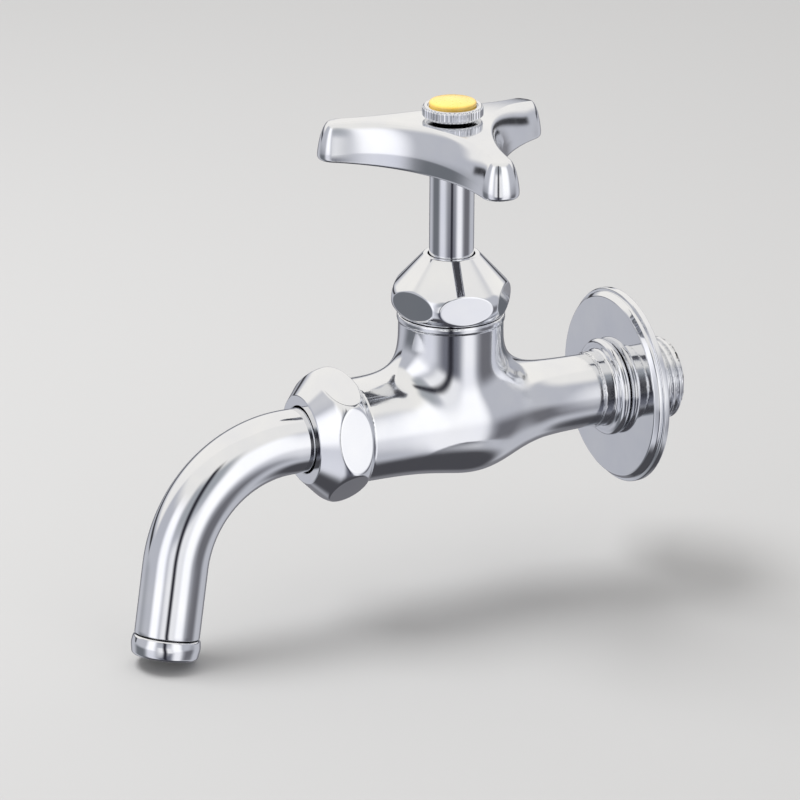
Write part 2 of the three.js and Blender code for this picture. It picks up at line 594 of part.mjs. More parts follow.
// Each piece by name, with its geometry, its material and the group that places it.
const tap = new THREE.Group();
spoutFrame.add(outletFrame);
tap.add(spindleFrame, spoutFrame);
const pieces = [
  ["body", bodyGeometry(), CHROME, tap],
  ["cap_nut", capNutGeometry(), CHROME, spindleFrame],
  ["packing_washer", packingWasherGeometry(), BRASS, spindleFrame],
  ["gland_packing", glandPackingGeometry(), RUBBER, spindleFrame],
  ["spindle", spindleGeometry(), CHROME, spindleFrame],
  ["jumper", jumperGeometry(), BRASS, spindleFrame],
  ["jumper_washer", jumperWasherGeometry(), RUBBER, spindleFrame],
  ["jumper_nut", jumperNutGeometry(), BRASS, spindleFrame],
  ["handle", handleGeometry(), CHROME, spindleFrame],
  ["index_screw", indexScrewGeometry(), CHROME, spindleFrame],
  ["index_disc", indexDiscGeometry(), YELLOW, spindleFrame],
  ["wall_flange", flangeGeometry(), CHROME, tap],
  ["pipe_nut", pipeNutGeometry(), CHROME, tap],
  ["pipe_packing", pipePackingGeometry(), RUBBER, tap],
  ["pipe_ring", pipeRingGeometry(), PLASTIC, spoutFrame],
  ["spout_pipe", spoutPipeGeometry(), CHROME, spoutFrame],
  ["outlet_ring", outletRingGeometry(), CHROME, outletFrame],
  ["outlet_gasket", outletGasketGeometry(), RUBBER, outletFrame],
  ["flow_straightener", flowStraightenerGeometry(), PLASTIC, outletFrame],
];
pieces.forEach(([name, geometry, material, frame]) => {
  const mesh = new THREE.Mesh(geometry, material);
  mesh.name = name;
  frame.add(mesh);
});

export default tap;
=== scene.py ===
"""A chrome wall tap with a swivel spout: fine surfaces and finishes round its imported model.

Meshes are worked out in millimetres in the model's own frame, and written in metres.
"""

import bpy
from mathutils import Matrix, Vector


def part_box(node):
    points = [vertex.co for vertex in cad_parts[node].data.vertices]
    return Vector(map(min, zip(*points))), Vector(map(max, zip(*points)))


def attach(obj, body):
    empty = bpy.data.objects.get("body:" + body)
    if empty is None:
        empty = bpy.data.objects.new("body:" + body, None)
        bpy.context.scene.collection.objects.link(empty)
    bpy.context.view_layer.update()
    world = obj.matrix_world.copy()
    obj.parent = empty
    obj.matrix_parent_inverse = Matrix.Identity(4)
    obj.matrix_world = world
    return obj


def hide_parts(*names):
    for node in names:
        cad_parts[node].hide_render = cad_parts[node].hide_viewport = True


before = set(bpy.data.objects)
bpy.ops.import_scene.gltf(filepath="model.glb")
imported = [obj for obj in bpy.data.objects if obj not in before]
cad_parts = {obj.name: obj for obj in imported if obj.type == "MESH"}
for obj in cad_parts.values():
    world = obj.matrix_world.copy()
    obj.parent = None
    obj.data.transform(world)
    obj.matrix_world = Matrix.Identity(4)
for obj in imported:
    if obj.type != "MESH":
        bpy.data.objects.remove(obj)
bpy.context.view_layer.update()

import math

import bmesh
import bpy
import numpy as np
from mathutils import Matrix, Vector

MM = 0.001
X, Y, Z = 0, 1, 2
CLEARANCE = 0.3  # between pieces that fit together


def span(node, axis):
    """The lowest and highest place of a CAD node along an axis, in millimetres."""
    low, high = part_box(node)
    return low[axis] / MM, high[axis] / MM


def middle(node, axis):
    return sum(span(node, axis)) / 2


# Places and sizes that the frame gives.
SPINDLE_Y = middle("spindle", Y)
INLET_END_Y = span("body", Y)[1]
BOSS_FRONT_Y = span("body", Y)[0]
NECK_THREAD_TOP_Z = span("body", Z)[1]
CAP_NUT_BOTTOM_Z, CAP_NUT_TOP_Z = span("cap_nut", Z)
PIPE_NUT_FRONT_Y, PIPE_NUT_BACK_Y = span("pipe_nut", Y)
SPINDLE_BOTTOM_Z, SPLINE_TOP_Z = span("spindle", Z)
HANDLE_BOTTOM_Z, HANDLE_TOP_Z = span("handle", Z)
HANDLE_REACH = span("handle", X)[1]
SCREW_BOTTOM_Z, SCREW_TOP_Z = span("index_screw", Z)
SCREW_RADIUS = span("index_screw", X)[1]
DISC_BOTTOM_Z, DISC_TOP_Z = span("index_disc", Z)
DISC_RADIUS = span("index_disc", X)[1]
FLANGE_RADIUS = span("wall_flange", X)[1]
FLANGE_FRONT_Y, FLANGE_BACK_Y = span("wall_flange", Y)
PIPE_START_Y = span("spout_pipe", Y)[1]

# Body.
THREAD_RADIUS = 10.48
THREAD_DEPTH = 1.16
THREAD_PITCH = 1.814
THREAD_CHAMFER = 0.9
INLET_BORE_RADIUS = 7
BEAD_BACK_Y = -3.6
BEAD_FRONT_Y = -6.2
BEAD_RADIUS = 12.4
LAND_FRONT_Y = -9.5
LAND_RADIUS = 9.6
BARREL_RADIUS = 12.9
ARM_RADIUS = 9.2
TAPER = (-2, 27)  # where the barrel thins to the arm, counted back from the spindle
BULB_RISE = 2.6
BULB_BACK = 7  # how far behind the spindle the bulb is widest
BULB_SPREAD = 10
BARREL_FRONT_Y = -76
BOSS_RADIUS = 11.6
NECK_RADIUS = 13
NECK_LIP_RADIUS = 13.35
NECK_LIP_Z = 25.3
NECK_TOP_Z = 26.9
NECK_THREAD_RADIUS = 11.2
NECK_FILLET = 14.5  # the reach of the blend between neck and barrel, in front and behind
SIDE_SHARE = 0.35  # the share of that reach left at the sides

# Valve chamber and passages inside the body. The ends of a passage are given as (y, z).
INLET_BORE_START_Y = SPINDLE_Y + 16
RISE_RADIUS = 4.5
RISE_ENDS = (SPINDLE_Y, -4.3), (SPINDLE_Y + 18, -1.5)
WAY_OUT_RADIUS = 3.6
WAY_OUT_ENDS = (SPINDLE_Y - 8, 10), (SPINDLE_Y - 19.5, -1)
SEAT_HOLE_RADIUS = 6
SEAT_HOLE_BOTTOM_Z = -7
SEAT_LIP = 1.6
SEAT_Z = 4.2
SEAT_FLOOR_Z = 3.2
CHAMBER_RADIUS = 9.5
CHAMBER_TOP_Z = 14
SPINDLE_THREAD_RADIUS = 8.5
SOCKET_RADIUS = 8.4
SOCKET_STEP_Y = -76.6
SOCKET_BACK_Y = PIPE_START_Y + 1.5
PACKING_BORE_RADIUS = 10.5

# Nuts.
CAP_NUT_WIDE_Z = 31.7
CAP_NUT_RADIUS = 16.5  # where its two cones would meet, before that edge is rounded
CAP_NUT_ROUNDING = 4.6
CAP_NUT_RIM_RADIUS = 6.85
CAP_NUT_BOTTOM_RADIUS = 13.1
CAP_NUT_FLAT_DISTANCE = 13.5
CAP_NUT_FACING = math.radians(18.5 - 90)
PIPE_NUT_WIDE_Y = -81.5
PIPE_NUT_RADIUS = 19.2  # likewise
PIPE_NUT_ROUNDING = 5.6
PIPE_NUT_RIM_RADIUS = 10.9
PIPE_NUT_BACK_RADIUS = 13.9
PIPE_NUT_FLAT_DISTANCE = 14.7
PIPE_NUT_FACING = math.radians(90 - 12)

# Spindle, handle and index screw.
SHAFT_RADIUS = 5.5
SHAFT_TOP_Z = 68.6
SPLINE_RADIUS = 4
HANDLE_ARM_WIDTH = 9.5
HANDLE_CORNER = 4.4
HANDLE_VALLEY = 12.6
HANDLE_EDGE_Z = 73.7
HANDLE_POCKET_Z = 70.6
HANDLE_WALL = 1.8
HANDLE_FOOT = 1
HANDLE_DRAFT = 0.9  # how far the sides lean in towards the top
SHOULDER_INSET = 2.6  # how far the rounding between side and top reaches in, besides that
SHOULDER_DROP = 7.3
TIP_SHARE = 0.75  # the share of the lean and the rounding that is left at the tips
HUB_RADIUS = 7
HANDLE_TURN = math.radians(-4.5)
HEAD_BOTTOM_Z = 76.9

# Spout.
PIPE_RADIUS = 8
PIPE_BORE_RADIUS = 7
BEND_START_Y = -93.6
BEND_RADIUS = 32.7
BEND_ANGLE = math.radians(77.5)
DROP_LENGTH = 17
SWIVEL = math.radians(-9.5)
COLLAR_BACK_Y = -79.7
COLLAR_FRONT_Y = -80.9
COLLAR_RADIUS = 9.4
OUTLET_RADIUS = 8.55
OUTLET_LENGTH = 5.3
OUTLET_SWELL = 2.4
OUTLET_LIP_RADIUS = 6.2
OUTLET_RECESS_RADIUS = 7.7

# Camera: where it stands round the object, and where it aims.
CAMERA_AZIMUTH = math.radians(63)
CAMERA_ELEVATION = math.radians(20.5)
CAMERA_ROLL = math.radians(-0.3)
CAMERA_DISTANCE = 1100
CAMERA_LENS = 199.5
AIM_RIGHT = -12.4  # from the foot of the spindle, in the picture's own directions
AIM_UP = 3.3

# Studio.
BACKDROP = (0.50, 0.50, 0.50)
LAMP_SIZE = (0.5, 0.35)  # metres, as is its distance
LAMP_DISTANCE = 0.9
LAMP_POWER = 6
LAMP_LEFT = math.radians(100)  # turned from the camera
LAMP_ELEVATION = math.radians(62)


# ---------------------------------------------------------------- mesh building


def piece_of(name, points, faces, normals=None):
    """A smooth-shaded object from points in millimetres."""
    mesh = bpy.data.meshes.new(name)
    mesh.from_pydata((np.asarray(points) * MM).tolist(), [], np.asarray(faces).tolist())
    mesh.shade_smooth()
    if normals is not None:
        mesh.normals_split_custom_set_from_vertices(normals.tolist())
    piece = bpy.data.objects.new(name, mesh)
    bpy.context.scene.collection.objects.link(piece)
    return piece


def grid_piece(name, points, closed=True):
    """A piece from rows of points. Columns wrap round, and so do rows unless both ends are poles."""
    rows, columns = points.shape[:2]
    number = np.arange(rows * columns).reshape(rows, columns)
    upper = np.roll(number, -1, 0)
    if not closed:
        number, upper = number[:-1], upper[:-1]
    faces = np.stack([number, np.roll(number, -1, 1), np.roll(upper, -1, 1), upper], -1)
    piece = piece_of(name, points.reshape(-1, 3), faces.reshape(-1, 4))
    merge_poles(piece)
    piece.data.set_sharp_from_angle(angle=math.radians(40))
    weighted = piece.modifiers.new("normals", "WEIGHTED_NORMAL")
    weighted.keep_sharp = True
    return piece


def merge_poles(piece):
    """Joins the points that lie on one another, as where a turned outline meets its axis."""
    made = bmesh.new()
    made.from_mesh(piece.data)
    bmesh.ops.remove_doubles(made, verts=made.verts, dist=1e-4 * MM)
    made.to_mesh(piece.data)
    made.free()


def rounded(corners, steps=6):
    """The points of a closed outline, given as its corners: (x, y), or (x, y, radius) to round one."""
    points = []
    for i, (x, y, *rest) in enumerate(corners):
        if not rest:
            points.append((x, y))
            continue
        radius = rest[0]
        corner = Vector((x, y))
        back = (Vector(corners[i - 1][:2]) - corner).normalized()
        ahead = (Vector(corners[(i + 1) % len(corners)][:2]) - corner).normalized()
        half = back.angle(ahead) / 2
        centre = corner + (back + ahead).normalized() * (radius / math.sin(half))
        first = corner + back * (radius / math.tan(half)) - centre
        last = corner + ahead * (radius / math.tan(half)) - centre
        sweep = math.atan2(first.x * last.y - first.y * last.x, first.dot(last))
        start = math.atan2(first.y, first.x)
        for k in range(steps + 1):
            angle = start + sweep * k / steps
            points.append((centre.x + radius * math.cos(angle), centre.y + radius * math.sin(angle)))
    return points


def filled(outline, step, closed=True):
    """An outline with points added, so that no two are further apart than step."""
    points = []
    ends = outline[1:] + outline[:1] if closed else outline[1:]
    for start, end in zip(outline, ends):
        count = max(1, math.ceil(math.dist(start, end) / step))
        whole = np.array(end) - start
        points += [tuple(np.array(start) + whole * k / count) for k in range(count)]
    return points if closed else points + [outline[-1]]


def on_z(height):
    """The line of the spindle: its points and two directions across it."""
    nought = np.zeros_like(height)
    origin = np.stack([nought, nought + SPINDLE_Y, height], -1)
    return origin, np.array([1, 0, 0]), np.array([0, 1, 0])


def on_y(along):
    """The line of the inlet and the body."""
    nought = np.zeros_like(along)
    return np.stack([nought, along, nought], -1), np.array([0, 0, 1]), np.array([1, 0, 0])


def swung(vectors):
    """Vectors turned about the line of the body by the angle that the spout is left at."""
    x, y, z = np.moveaxis(vectors, -1, 0)
    cos, sin = math.cos(SWIVEL), math.sin(SWIVEL)
    return np.stack([x * cos + z * sin, y, z * cos - x * sin], -1)


def on_spout(distance):
    """The spout's centre line by the distance from its start: straight, round the bend, then down."""
    lead = PIPE_START_Y - BEND_START_Y
    bend = BEND_RADIUS * BEND_ANGLE
    angle = np.clip((distance - lead) / BEND_RADIUS, 0, BEND_ANGLE)
    drop = np.maximum(distance - lead - bend, 0)
    bend_y = PIPE_START_Y - np.minimum(distance, lead) - BEND_RADIUS * np.sin(angle)
    y = bend_y - drop * math.cos(BEND_ANGLE)
    z = -BEND_RADIUS * (1 - np.cos(angle)) - drop * math.sin(BEND_ANGLE)
    nought = np.zeros_like(distance)
    across = np.stack([nought, np.sin(angle), -np.cos(angle)], -1)
    return swung(np.stack([nought, y, z], -1)), swung(across), swung(np.array([1, 0, 0]))


SPOUT_LENGTH = PIPE_START_Y - BEND_START_Y + BEND_RADIUS * BEND_ANGLE + DROP_LENGTH


def turned(name, outline, line, sides=192, reach=None):
    """A turned piece: its outline gives (radius, place along the line) up the outside. reach, if
    given, turns a radius, an angle and a place into the radius there, as flats and threads need."""
    radius, along = np.array(outline, float).T
    angle = np.linspace(0, 2 * math.pi, sides, endpoint=False)
    radii = np.repeat(radius[:, None], sides, 1)
    if reach:
        radii = reach(radii, angle[None, :], along[:, None])
    origin, across, over = line(along)
    across = np.broadcast_to(across, origin.shape)[:, None]
    spin = np.cos(angle)[None, :, None] * across + np.sin(angle)[None, :, None] * over
    closed = not (radius[0] == 0 and radius[-1] == 0)
    return grid_piece(name, origin[:, None] + radii[..., None] * spin, closed)


# ---------------------------------------------------------------- fields


def smooth_min(a, b, reach):
    """The smaller of two distances, blended where they differ by less than reach."""
    share = np.maximum(reach - np.abs(a - b), 0) / reach
    return np.minimum(a, b) - reach * share**3 / 6


def smooth_max(a, b, reach):
    return -smooth_min(-a, -b, reach)


def ease(low, high, value):
    """0 below low and 1 above high, with an even rise between."""
    share = np.clip((value - low) / (high - low), 0, 1)
    return share**3 * (share * (6 * share - 15) + 10)


def drum(radial, along, radius, low, high, edge=0.3):
    """How far a point is outside a drum with rounded edges."""
    return smooth_max(radial - radius, np.maximum(low - along, along - high), edge)


def thread_groove(angle, along, pitch):
    """0 on the crest of a helical thread and 1 at its root."""
    phase = (along / pitch - angle / (2 * math.pi)) % 1
    return ease(0.3, 0.52, phase) - ease(0.78, 1, phase)


def outside(p):
    """The body's outer surface: shank, arm, bulb, barrel and neck, blended where they meet."""
    x, y, z = p[..., X], p[..., Y], p[..., Z]
    radial = np.hypot(x, z)
    from_spindle = y - SPINDLE_Y
    taper = (BARREL_RADIUS - ARM_RADIUS) * ease(*TAPER, from_spindle)
    bulb = BULB_RISE * np.exp(-((from_spindle - BULB_BACK) ** 2) / (2 * BULB_SPREAD**2))
    barrel_radius = BARREL_RADIUS - taper + bulb
    barrel = drum(radial, y, barrel_radius, BARREL_FRONT_Y, LAND_FRONT_Y, edge=0.8)
    boss = drum(radial, y, BOSS_RADIUS, BOSS_FRONT_Y, BARREL_FRONT_Y + 2, edge=0.8)
    land = drum(radial, y, LAND_RADIUS, LAND_FRONT_Y, BEAD_BACK_Y)
    half = (BEAD_BACK_Y - BEAD_FRONT_Y) / 2
    bead = np.hypot(radial - BEAD_RADIUS + half, y - BEAD_BACK_Y + half) - half
    bead_web = drum(radial, y, BEAD_RADIUS - half, BEAD_FRONT_Y, BEAD_BACK_Y)
    bead = smooth_min(bead, bead_web, reach=0.2)
    bead = smooth_min(bead, land, reach=1.2)
    groove = THREAD_DEPTH * thread_groove(np.arctan2(x, z), y, THREAD_PITCH)
    shank = drum(radial, y, THREAD_RADIUS - groove, BEAD_FRONT_Y + 1, INLET_END_Y)
    chamfer = (radial + y - THREAD_RADIUS - INLET_END_Y + THREAD_CHAMFER) * math.sqrt(0.5)
    shank = smooth_max(shank, chamfer, reach=0.4)
    around = np.hypot(x, from_spindle)
    neck = drum(around, z, NECK_RADIUS, 0, NECK_TOP_Z, edge=0.7)
    lip = drum(around, z, NECK_LIP_RADIUS, NECK_LIP_Z, NECK_TOP_Z, edge=0.5)
    neck_thread = drum(around, z, NECK_THREAD_RADIUS, 0, NECK_THREAD_TOP_Z, edge=0.8)
    aside = np.minimum(np.abs(x) / (BARREL_RADIUS + BULB_RISE), 1)
    fillet = NECK_FILLET * (SIDE_SHARE + (1 - SIDE_SHARE) * np.cos(aside * math.pi / 2) ** 2)
    made = smooth_min(barrel, neck, fillet)
    made = smooth_min(made, lip, reach=0.5)
    for part in (boss, bead, shank, neck_thread):
        made = smooth_min(made, part, reach=0.3)
    return made


def drilled(p, radius, start, end):
    """How far a point is outside a straight round passage between two places (y, z) where x is 0."""
    (y0, z0), (y1, z1) = start, end
    length = math.dist(start, end)
    dy, dz = (y1 - y0) / length, (z1 - z0) / length
    along = (p[..., Y] - y0) * dy + (p[..., Z] - z0) * dz
    aside = (p[..., Z] - z0) * dy - (p[..., Y] - y0) * dz
    return np.maximum(np.hypot(p[..., X], aside) - radius, np.maximum(-along, along - length))


def water_way(p):
    """The inlet bore, the rise under the seat, the valve chamber, and the way out to the socket."""
    y, z = p[..., Y], p[..., Z]
    radial = np.hypot(p[..., X], z)
    around = np.hypot(p[..., X], y - SPINDLE_Y)
    past = 2  # how far a cut that opens to the outside runs on
    moat = drum(around, z, CHAMBER_RADIUS, SEAT_FLOOR_Z, CHAMBER_TOP_Z)
    cuts = (
        drum(around, z, SEAT_HOLE_RADIUS, SEAT_HOLE_BOTTOM_Z, SEAT_Z + past),
        drum(around, z, CHAMBER_RADIUS, SEAT_Z, CHAMBER_TOP_Z),
        np.maximum(moat, SEAT_HOLE_RADIUS + SEAT_LIP - around),
        drum(around, z, SPINDLE_THREAD_RADIUS + CLEARANCE, SEAT_Z, NECK_THREAD_TOP_Z + past),
        drum(radial, y, PACKING_BORE_RADIUS, BOSS_FRONT_Y - past, SOCKET_STEP_Y),
        drum(radial, y, SOCKET_RADIUS, BOSS_FRONT_Y - past, SOCKET_BACK_Y),
        drilled(p, INLET_BORE_RADIUS, (INLET_BORE_START_Y, 0), (INLET_END_Y + past, 0)),
        drilled(p, RISE_RADIUS, *RISE_ENDS),
        drilled(p, WAY_OUT_RADIUS, *WAY_OUT_ENDS),
    )
    return np.minimum.reduce(cuts)


def body_field(p):
    return smooth_max(outside(p), -water_way(p), reach=0.3)


def slope_of(field, points):
    step = 0.02
    rises = [field(points + away) - field(points - away) for away in np.eye(3) * step]
    return np.stack(rises, -1) / (2 * step)


def surface_of(field, axes):
    """The closed surface where field is 0, as points, four-sided faces and normals. Each cell of
    the grid that the surface crosses gives one point, which is then moved onto the surface."""
    least_steepness = 0.2
    grid = np.stack(np.meshgrid(*axes, indexing="ij"), -1)
    inside = field(grid) < 0
    corners = [inside[i:i - 1 or None, j:j - 1 or None, k:k - 1 or None]
               for i in (0, 1) for j in (0, 1) for k in (0, 1)]
    count = np.sum(corners, 0)
    crossed = (count > 0) & (count < len(corners))
    number = np.full(crossed.shape, -1)
    number[crossed] = np.arange(crossed.sum())
    centres = np.meshgrid(*[(axis[1:] + axis[:-1]) / 2 for axis in axes], indexing="ij")
    points = np.stack([centre[crossed] for centre in centres], -1)
    faces = []
    for axis in range(3):
        state, cell = np.moveaxis(inside, axis, 0), np.moveaxis(number, axis, 0)
        i, j, k = np.nonzero(state[1:, 1:-1, 1:-1] != state[:-1, 1:-1, 1:-1])
        ring = ((j, k), (j + 1, k), (j + 1, k + 1), (j, k + 1))
        quads = np.stack([cell[i, m, n] for m, n in ring], 1)
        backwards = state[i, j + 1, k + 1] == (axis == 1)
        quads[backwards] = quads[backwards, ::-1]
        faces.append(quads)
    for _ in range(6):
        slope = slope_of(field, points)
        steep = np.maximum((slope**2).sum(-1), least_steepness)
        points = points - (field(points) / steep)[:, None] * slope
    slope = slope_of(field, points)
    return points, np.concatenate(faces), slope / np.linalg.norm(slope, axis=1)[:, None]


def grid_lines(*stretches):
    """Places along an axis, through stretches that are each given as (start, end, step)."""
    return np.concatenate([np.arange(start, end, step) for start, end, step in stretches])


# ---------------------------------------------------------------- the pieces


def make_body():
    """The cast body, on a grid that is finer along the thread and its collar."""
    margin = 1
    coarse, fine = 0.5, 0.22
    side = BARREL_RADIUS + BULB_RISE + margin
    front, back = BOSS_FRONT_Y - margin, INLET_END_Y + margin
    change = LAND_FRONT_Y - 1
    axes = [
        grid_lines((-side, side, coarse)),
        grid_lines((front, change, coarse), (change, back, fine)),
        grid_lines((-side, NECK_THREAD_TOP_Z + margin, coarse)),
    ]
    return piece_of("tap_body_casting", *surface_of(body_field, axes))


def make_flange():
    """A flat plate whose rounded shoulder steps out to a thin rim."""
    hole, shoulder = 10.9, FLANGE_RADIUS - 0.9
    front, back = FLANGE_FRONT_Y, FLANGE_BACK_Y
    outline = rounded([
        (hole, front, 0.2), (shoulder - 1, front, 0.7), (shoulder, front + 1.1, 0.7),
        (shoulder, front + 1.75, 0.15), (FLANGE_RADIUS, front + 1.9, 0.4),
        (FLANGE_RADIUS, back, 0.4), (hole, back, 0.2),
    ])
    return turned("escutcheon_plate", outline, on_y, sides=256)


def with_flats(distance, facing):
    """The reach of a piece with six flats, one of which faces an angle."""
    sixth = math.pi / 3

    def reach(radius, angle, _):
        turn = (angle - facing + sixth / 2) % sixth - sixth / 2
        return smooth_min(radius, distance / np.cos(turn), reach=0.3)
    return reach


def make_cap_nut():
    """The nut on the neck: two cones with six flats, hollow for the packing, open for the spindle."""
    bore, thread = SHAFT_RADIUS + CLEARANCE, NECK_THREAD_RADIUS + 0.4
    low, high = CAP_NUT_BOTTOM_Z, CAP_NUT_TOP_Z
    roof, roof_radius = 38.8, 7
    slope_start = 34
    outline = rounded([
        (thread, low), (CAP_NUT_BOTTOM_RADIUS, low, 0.3),
        (CAP_NUT_RADIUS, CAP_NUT_WIDE_Z, CAP_NUT_ROUNDING),
        (CAP_NUT_RIM_RADIUS, high, 0.5), (bore, high, 0.25),
        (bore, roof), (roof_radius, roof), (thread, slope_start),
    ], steps=24)
    flats = with_flats(CAP_NUT_FLAT_DISTANCE, CAP_NUT_FACING)
    return turned("packing_nut", filled(outline, 0.25), on_z, 480, flats)


def make_pipe_nut():
    """The nut that holds the spout: two cones with six flats, and a bore for the boss."""
    bore, floor = BOSS_RADIUS + 0.4, BOSS_FRONT_Y - CLEARANCE
    front, back = PIPE_NUT_FRONT_Y, PIPE_NUT_BACK_Y
    outline = rounded([
        (SOCKET_RADIUS, front, 0.3), (PIPE_NUT_RIM_RADIUS, front, 0.7),
        (PIPE_NUT_RADIUS, PIPE_NUT_WIDE_Y, PIPE_NUT_ROUNDING), (PIPE_NUT_BACK_RADIUS, back, 0.3),
        (bore, back), (bore, floor), (SOCKET_RADIUS, floor),
    ], steps=24)
    flats = with_flats(PIPE_NUT_FLAT_DISTANCE, PIPE_NUT_FACING)
    return turned("coupling_nut", filled(outline, 0.25), on_y, 480, flats)


def make_spindle():
    """A shaft with the valve's coarse thread at its foot and splines at its head."""
    low, high = 12.5, 26
    lead, depth, chamfer = 2.5, 1.1, 0.6
    teeth, tooth_height = 24, 0.3
    foot, foot_hole, foot_hole_top = 6.6, 3.3, 24
    screw_hole, screw_hole_bottom = 2.3, SHAFT_TOP_Z - 3

    def reach(radius, angle, height):
        threaded = (height > low + 0.2) & (height < high - 0.2) & (radius > SHAFT_RADIUS)
        splined = (height > SHAFT_TOP_Z + 0.1) & (radius > SPLINE_RADIUS - 0.5)
        cut = depth * thread_groove(angle, height, lead) * threaded
        return radius - cut - tooth_height / 2 * (1 + np.cos(teeth * angle)) * splined

    outline = filled(rounded([
        (0, foot_hole_top), (foot_hole, foot_hole_top), (foot_hole, SPINDLE_BOTTOM_Z),
        (foot, SPINDLE_BOTTOM_Z, 0.5), (foot, low),
        (SPINDLE_THREAD_RADIUS, low + chamfer), (SPINDLE_THREAD_RADIUS, high - chamfer),
        (SHAFT_RADIUS, high), (SHAFT_RADIUS, SHAFT_TOP_Z, 0.4),
        (SPLINE_RADIUS, SHAFT_TOP_Z, 0.2), (SPLINE_RADIUS, SPLINE_TOP_Z, 0.4),
        (screw_hole, SPLINE_TOP_Z), (screw_hole, screw_hole_bottom), (0, screw_hole_bottom),
    ]), 0.4, closed=False)
    return turned("valve_spindle", outline, on_z, 144, reach)


def arc(centre, radius, start, end, count):
    """Points round a circle from one angle to another."""
    angle = np.linspace(start, end, count)
    return np.stack([centre[0] + radius * np.cos(angle), centre[1] + radius * np.sin(angle)], -1)


def handle_outline(inset):
    """The outline of the three-armed handle, drawn inwards by inset: blunt tips joined by hollow
    sides. A side is the circle that touches the corners of two tips and comes in to the valley."""
    third = 2 * math.pi / 3
    corner = np.array([HANDLE_REACH - HANDLE_CORNER, HANDLE_ARM_WIDTH / 2 - HANDLE_CORNER])
    away = math.hypot(*corner)
    to_side = away * math.cos(third / 2 - math.atan2(corner[1], corner[0]))
    apart = away**2 + HANDLE_VALLEY**2 - HANDLE_CORNER**2 - 2 * HANDLE_VALLEY * to_side
    hollow = apart / (2 * HANDLE_CORNER + 2 * to_side - 2 * HANDLE_VALLEY)
    side = (HANDLE_VALLEY + hollow) * np.array([math.cos(third / 2), math.sin(third / 2)])
    swing = math.atan2(*(side - corner)[::-1])
    half = swing - third / 2
    facing = third / 2 + math.pi
    arm = np.concatenate([
        arc((corner[0], -corner[1]), HANDLE_CORNER - inset, -swing, 0, 14),
        arc(corner, HANDLE_CORNER - inset, 0, swing, 14),
        arc(side, hollow + inset, facing + half, facing - half, 60)[1:-1],
    ])
    arms = []
    for k in range(3):
        cos, sin = math.cos(HANDLE_TURN + k * third), math.sin(HANDLE_TURN + k * third)
        arms.append(arm @ np.array([[cos, sin], [-sin, cos]]))
    return np.concatenate(arms)


def handle_dome(points):
    """The height of the handle's domed top over points of the plane."""
    out = np.hypot(*points.T) / HANDLE_REACH
    return HANDLE_TOP_Z - (HANDLE_TOP_Z - HANDLE_EDGE_Z) * out**2


def make_handle():
    """A cast shell, domed over three arms, hollow underneath round the hub for the spindle."""
    plan = handle_outline(0)
    away = np.hypot(*plan.T)
    outward = plan / away[:, None]
    far = ease(20, HANDLE_REACH, away)[:, None]
    screw_hole, countersink = 2.4, 0.3
    bore, roof = SPLINE_RADIUS + CLEARANCE, SPLINE_TOP_Z + CLEARANCE
    hub_bottom, edge = SHAFT_TOP_Z + CLEARANCE, 0.3
    rows = []

    def drawn_in(inset):
        whole = handle_outline(inset)
        return whole + (handle_outline(TIP_SHARE * inset) - whole) * far

    def level(points, height):
        rows.append(np.column_stack([points, np.broadcast_to(height, len(points))]))

    def disc(radius):
        return outward * radius

    # Up the outside: the rounding at the foot, the side and its shoulder, then over the top.
    for angle in np.linspace(-math.pi / 2, 0, 8):
        inset = HANDLE_FOOT * (1 - math.cos(angle))
        level(handle_outline(inset), HANDLE_BOTTOM_Z + HANDLE_FOOT * (1 + math.sin(angle)))
    for angle in np.linspace(0, math.pi / 2, 25):
        inset = HANDLE_DRAFT * math.sin(angle) + SHOULDER_INSET * (1 - math.cos(angle))
        points = drawn_in(inset)
        level(points, handle_dome(points) - SHOULDER_DROP * (1 - math.sin(angle)))
    inner = drawn_in(HANDLE_DRAFT + SHOULDER_INSET)
    hole = disc(screw_hole + countersink)
    for share in np.linspace(0, 1, 30)[1:] ** 0.8:
        points = inner + (hole - inner) * share
        level(points, handle_dome(points))
    # Down the screw hole and the bore, round the hub, and out along the pocket's roof and wall.
    for radius, height in (
        (screw_hole, HANDLE_TOP_Z - countersink), (screw_hole, roof), (bore, roof),
        (bore, hub_bottom + edge), (bore + edge, hub_bottom),
        (HUB_RADIUS - edge, hub_bottom), (HUB_RADIUS, hub_bottom + edge),
        (HUB_RADIUS, HANDLE_POCKET_Z),
    ):
        level(disc(radius), height)
    pocket = handle_outline(HANDLE_WALL)
    for share in np.linspace(0, 1, 9)[1:]:
        level(disc(HUB_RADIUS) + (pocket - disc(HUB_RADIUS)) * share, HANDLE_POCKET_Z)
    for height in np.linspace(HANDLE_POCKET_Z - 0.5, HANDLE_BOTTOM_Z + edge, 6):
        level(pocket, height)
    level(handle_outline(HANDLE_WALL - edge), HANDLE_BOTTOM_Z)
    points = np.array(rows)
    points[..., Y] += SPINDLE_Y
    return grid_piece("cross_handle", points)


